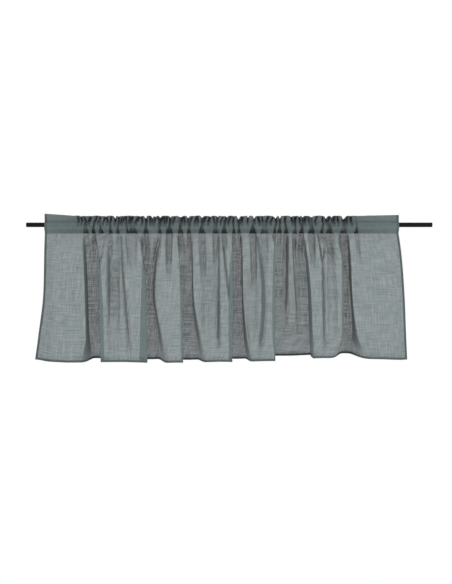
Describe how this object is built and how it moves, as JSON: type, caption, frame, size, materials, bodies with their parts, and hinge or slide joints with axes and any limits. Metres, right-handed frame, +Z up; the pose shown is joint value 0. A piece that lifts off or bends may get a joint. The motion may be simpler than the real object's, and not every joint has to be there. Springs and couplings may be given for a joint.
{
  "type": "valance curtain on a curtain rod",
  "caption": "Short semi-sheer cloth valance with a frilled header and a sewn channel, gathered on a plain round rod that hangs it above a window.",
  "frame": {"origin": "on the rod's axis, at the middle of its length", "axes": "+X along the rod, to the right as seen from the room; +Y away from the room, towards the window; +Z up"},
  "size_m": [1.4, 0.1239, 0.5145],
  "materials": {
    "cloth": "matt plain weave, semi-sheer, with uneven yarns",
    "rod_paint": "satin black paint"
  },
  "bodies": {
    "root": {"curtain": "cloth", "rod": "rod_paint"}
  },
  "joints": []
}
